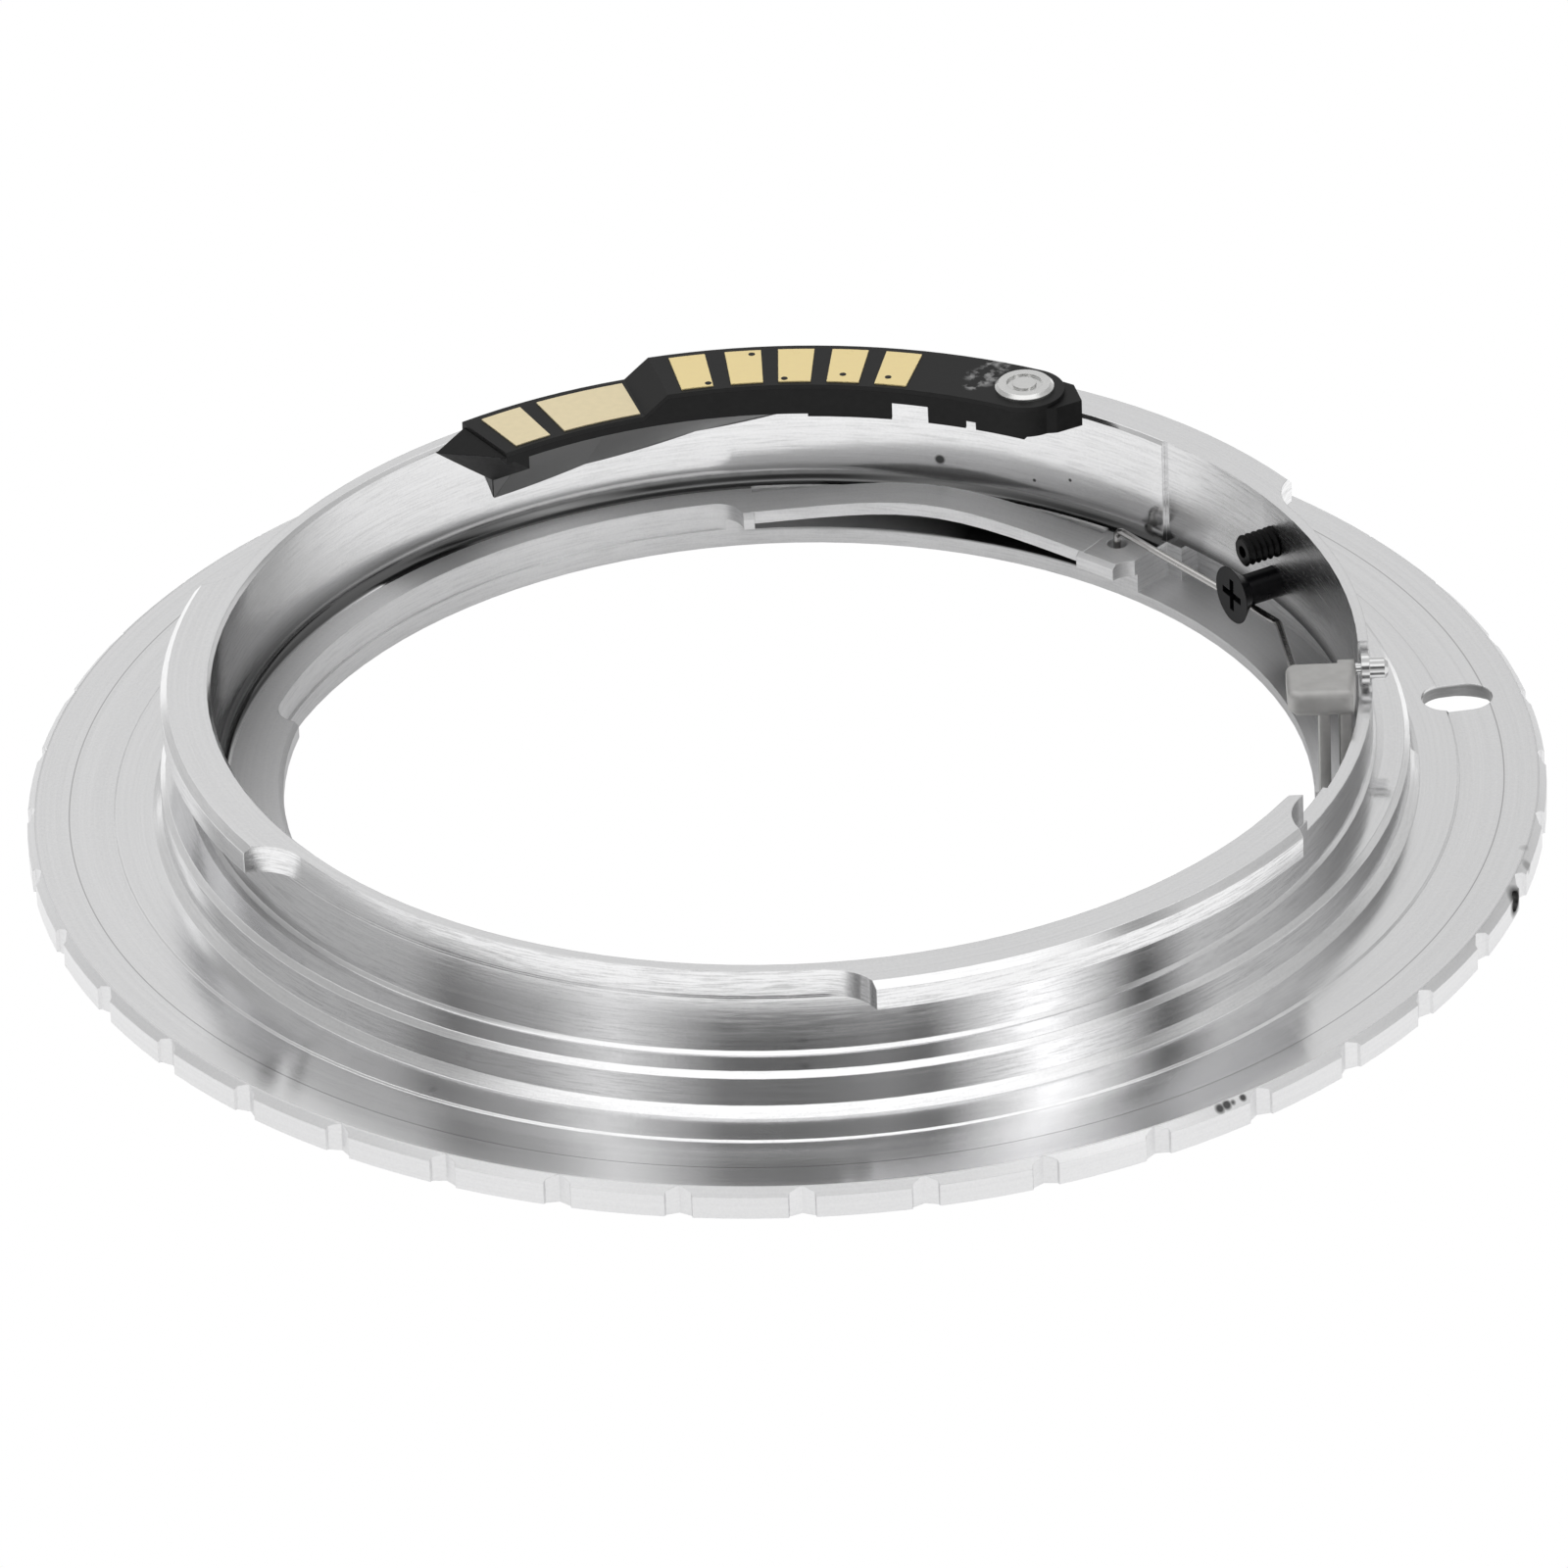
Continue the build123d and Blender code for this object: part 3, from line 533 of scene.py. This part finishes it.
def plain_finish(name, colour, roughness, metallic=0.0, specular=0.5, grain=0.04, grain_scale=3000.0,
                 relief=0.15, edge=0.04, smears=()):
    """A small part's finish: one colour with a fine grain in its colour, gloss and relief."""
    material, tree, shader, point = new_finish(name, Metallic=metallic, Specular_IOR_Level=specular)
    fine = noise(tree, point, scale=grain_scale, detail=3.0)
    low = tuple(max(0.0, channel - grain) for channel in colour)
    high = tuple(min(1.0, channel + grain) for channel in colour)
    base = mix_colour(tree, fine, low, high)
    if smears:
        rubbed = fade(tree, noise(tree, point, scale=2600.0, detail=4.0), *SMEAR_EDGES)
        base = darken(tree, base, rubbed, spots(tree, point, smears), SMEAR_GREY)
    tree.links.new(base, shader.inputs["Base Color"])
    rough = calc(tree, "ADD", roughness, product(tree, calc(tree, "SUBTRACT", fine, 0.5), 0.15))
    tree.links.new(rough, shader.inputs["Roughness"])
    bump_to(tree, shader, fine, strength=relief, distance=0.02 * MM, normal=rounded(tree, edge))
    return material


FINISHES = {
    "adapter_ring": ring_finish(),
    "chip_base": plain_finish("moulded_black", (0.009, 0.009, 0.009), 0.5, grain=0.005, specular=0.2),
    "chip_board": plain_finish("board_black", (0.010, 0.010, 0.010), 0.45, grain=0.005, specular=0.22,
                               smears=GLUE_SMEARS),
    "contact_pad": plain_finish("pad_gold", (1.0, 0.86, 0.52), 0.75, metallic=1.0, grain=0.03),
    "worn_pad": plain_finish("pad_worn", (0.92, 0.82, 0.58), 0.6, metallic=1.0, grain=0.05),
    "chip_rivet": plain_finish("rivet_silver", (0.78, 0.78, 0.77), 0.25, metallic=1.0),
    "adhesive_bead": plain_finish("glue_grey", (0.12, 0.12, 0.12), 0.35, grain=0.03, grain_scale=600.0),
    "latch_bolt": plain_finish("bolt_satin", (0.52, 0.515, 0.505), 0.55, metallic=1.0, grain=0.10,
                               grain_scale=1800.0, relief=0.3, edge=0.3),
    "release_pin": plain_finish("pin_chrome", (0.7, 0.7, 0.7), 0.12, metallic=1.0),
    "wire_spring": plain_finish("spring_wire", (0.58, 0.57, 0.56), 0.22, metallic=1.0),
    "spring_screw": plain_finish("screw_black", (0.006, 0.006, 0.007), 0.3, grain=0.004, specular=0.12),
    "stop_screw": plain_finish("stop_black", (0.004, 0.004, 0.004), 0.3, grain=0.003, specular=0.14),
    "chip_controller": plain_finish("circuit_black", (0.02, 0.02, 0.02), 0.5, grain=0.01),
    "chip_capacitor": plain_finish("capacitor_tan", (0.45, 0.33, 0.22), 0.5),
    "chip_resistor": plain_finish("resistor_black", (0.03, 0.03, 0.03), 0.4, grain=0.01),
}
WORN_PADS = ("contact_pad_1", "contact_pad_2")
for name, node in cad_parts.items():
    pad_finish = "worn_pad" if name in WORN_PADS else "contact_pad"
    finish = FINISHES[pad_finish if name.startswith("contact_pad") else name]
    node.data.materials.clear()
    node.data.materials.append(finish)


# Pieces that are made here

def new_piece(name, shape, body, finish):
    """A faceted mesh piece that rides on a body, in the finish listed under the given name."""
    mesh = bpy.data.meshes.new(name)
    bmesh.ops.recalc_face_normals(shape, faces=shape.faces)
    for face in shape.faces:
        face.smooth = False
    shape.to_mesh(mesh)
    shape.free()
    mesh.materials.append(FINISHES[finish])
    piece = bpy.data.objects.new(name, mesh)
    bpy.context.scene.collection.objects.link(piece)
    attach(piece, body)
    return piece


def make_stop_screw():
    """Threaded stub with a round recess, in the place of the plain solid one."""
    shape = bmesh.new()
    profile = ((THREAD_ROOT_R, 0, 0), (THREAD_CREST_R, 0, THREAD_PITCH / 2), (THREAD_ROOT_R, 0, THREAD_PITCH))
    points = [shape.verts.new(place) for place in profile]
    edges = [shape.edges.new(pair) for pair in zip(points, points[1:])]
    bmesh.ops.spin(shape, geom=points + edges, cent=(0, 0, 0), axis=(0, 0, 1),
                   dvec=(0, 0, THREAD_PITCH / THREAD_STEPS), angle=tau * THREAD_TURNS,
                   steps=THREAD_STEPS * THREAD_TURNS, use_merge=False)
    bmesh.ops.remove_doubles(shape, verts=shape.verts, dist=THREAD_MERGE)
    for height, at_tip in ((THREAD_PITCH, True), (THREAD_PITCH + STOP_LENGTH, False)):
        bmesh.ops.bisect_plane(shape, geom=shape.verts[:] + shape.edges[:] + shape.faces[:],
                               plane_co=(0, 0, height), plane_no=(0, 0, 1), clear_inner=at_tip,
                               clear_outer=not at_tip)
    open_edges = [edge for edge in shape.edges if edge.is_boundary]
    caps = bmesh.ops.holes_fill(shape, edges=open_edges, sides=0)["faces"]
    tip = min(caps, key=lambda face: face.calc_center_median().z)
    bmesh.ops.scale(shape, vec=(TIP_TAPER, TIP_TAPER, 1), verts=tip.verts)
    bmesh.ops.inset_region(shape, faces=[tip], thickness=TIP_RIM)
    recess = bmesh.ops.extrude_face_region(shape, geom=[tip])["geom"]
    recess_points = [part for part in recess if isinstance(part, bmesh.types.BMVert)]
    bmesh.ops.translate(shape, vec=(0, 0, TIP_RECESS), verts=recess_points)
    if tip.is_valid:
        bmesh.ops.delete(shape, geom=[tip], context="FACES_ONLY")
    out = Vector((cos(STOP_AZIMUTH), sin(STOP_AZIMUTH), 0))
    side = Vector((-sin(STOP_AZIMUTH), cos(STOP_AZIMUTH), 0))
    turn = Matrix((side, (0, 0, 1), out)).transposed().to_4x4()
    start = out * (STOP_IN_R - THREAD_PITCH) + Vector((0, 0, STOP_Z))
    place = Matrix.Scale(MM, 4) @ Matrix.Translation(start) @ turn
    bmesh.ops.transform(shape, matrix=place, verts=shape.verts)
    screw = new_piece("stop_screw_threaded", shape, "ring", "stop_screw")
    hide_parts("stop_screw")


def add_plug(shape, place):
    """A small round plug, as wide as a plated hole."""
    bmesh.ops.create_cone(shape, cap_ends=True, segments=16, radius1=VIA_R * MM, radius2=VIA_R * MM,
                          depth=VIA_DEPTH * MM, matrix=Matrix.Translation(place))


def make_vias():
    """The contact pads' plated holes as dark plugs, and gold plugs over the solids' own holes."""
    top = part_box("contact_pad_3")[1][2]
    holes, fills = bmesh.new(), bmesh.new()
    for x, y in VIA_PLACES:
        add_plug(holes, (x * MM, y * MM, top - VIA_SINK * MM))
    for azimuth in PLAIN_VIA_AZIMUTHS:
        out = Vector((cos(radians(azimuth)), sin(radians(azimuth)), 0))
        add_plug(fills, out * PLAIN_VIA_R * MM + Vector((0, 0, top - PLATING_SINK * MM)))
    new_piece("pad_via_holes", holes, "ring", "chip_board")
    new_piece("pad_plating", fills, "ring", "contact_pad")


# Stage and camera

def white_to_camera(tree, kind, colour, strength, output):
    """A light for every ray but the camera's, which sees plain white."""
    lit = add_node(tree, kind, {"Color": colour, "Strength": strength})
    white = add_node(tree, kind, {"Color": (*WHITE, 1), "Strength": 1.0})
    path = add_node(tree, "ShaderNodeLightPath")
    mixed = add_node(tree, "ShaderNodeMixShader", {
        0: path.outputs["Is Camera Ray"], 1: lit.outputs[0], 2: white.outputs[0]})
    add_node(tree, output, {0: mixed.outputs[0]})


def set_floor():
    """A white floor, which also lights the ring's underside and its reflections, with a painted shadow under
    the ring in that light.
    """
    mesh = bpy.data.meshes.new("floor")
    shape = bmesh.new()
    bmesh.ops.create_grid(shape, x_segments=1, y_segments=1, size=FLOOR_SIZE)
    bmesh.ops.translate(shape, verts=shape.verts, vec=(0, 0, FLOOR_Z))
    shape.to_mesh(mesh)
    shape.free()
    floor = bpy.data.objects.new("floor", mesh)
    bpy.context.scene.collection.objects.link(floor)
    material = bpy.data.materials.new("floor_white")
    material.use_nodes = True
    tree = material.node_tree
    tree.nodes.clear()
    point = add_node(tree, "ShaderNodeTexCoord").outputs["Object"]
    radius = use_group(tree, RING_PLACE, Point=point)["Radius"]
    shade = ramp(tree, calc(tree, "DIVIDE", radius, FLOOR_REACH), FLOOR_SHADES)
    white_to_camera(tree, "ShaderNodeEmission", shade, FLOOR_LIGHT, "ShaderNodeOutputMaterial")
    mesh.materials.append(material)


def set_world():
    """The studio round the ring."""
    world = bpy.data.worlds.new("studio")
    bpy.context.scene.world = world
    world.use_nodes = True
    tree = world.node_tree
    tree.nodes.clear()
    direction = add_node(tree, "ShaderNodeTexCoord").outputs["Generated"]
    light = use_group(tree, STUDIO_LIGHT, Direction=direction)[0]
    white_to_camera(tree, "ShaderNodeBackground", light, 1.0, "ShaderNodeOutputWorld")


def place_camera():
    """The photograph's camera: a long lens, level with the ring apart from a small roll."""
    camera = bpy.data.cameras.new("photo_camera")
    camera.sensor_width = SENSOR_MM
    camera.lens = FOCAL_PIXELS / PHOTO_PIXELS * SENSOR_MM
    camera.shift_x = (PHOTO_PIXELS / 2 - PHOTO_CENTRE[0]) / PHOTO_PIXELS
    camera.shift_y = (PHOTO_CENTRE[1] - PHOTO_PIXELS / 2) / PHOTO_PIXELS
    camera.clip_start = NEAR_CLIP
    camera.clip_end = FAR_CLIP
    back = Vector((0, -cos(CAMERA_ELEVATION), sin(CAMERA_ELEVATION)))
    up = Vector((0, sin(CAMERA_ELEVATION), cos(CAMERA_ELEVATION)))
    right = Vector((1, 0, 0))
    rolled_right = right * cos(CAMERA_ROLL) - up * sin(CAMERA_ROLL)
    rolled_up = right * sin(CAMERA_ROLL) + up * cos(CAMERA_ROLL)
    turn = Matrix((rolled_right, rolled_up, back)).transposed().to_4x4()
    holder = bpy.data.objects.new("photo_camera", camera)
    holder.matrix_world = Matrix.Translation(back * CAMERA_DISTANCE) @ turn
    bpy.context.scene.collection.objects.link(holder)
    bpy.context.scene.camera = holder


make_stop_screw()
make_vias()
set_floor()
set_world()
place_camera()
bpy.context.scene.view_settings.view_transform = "Standard"
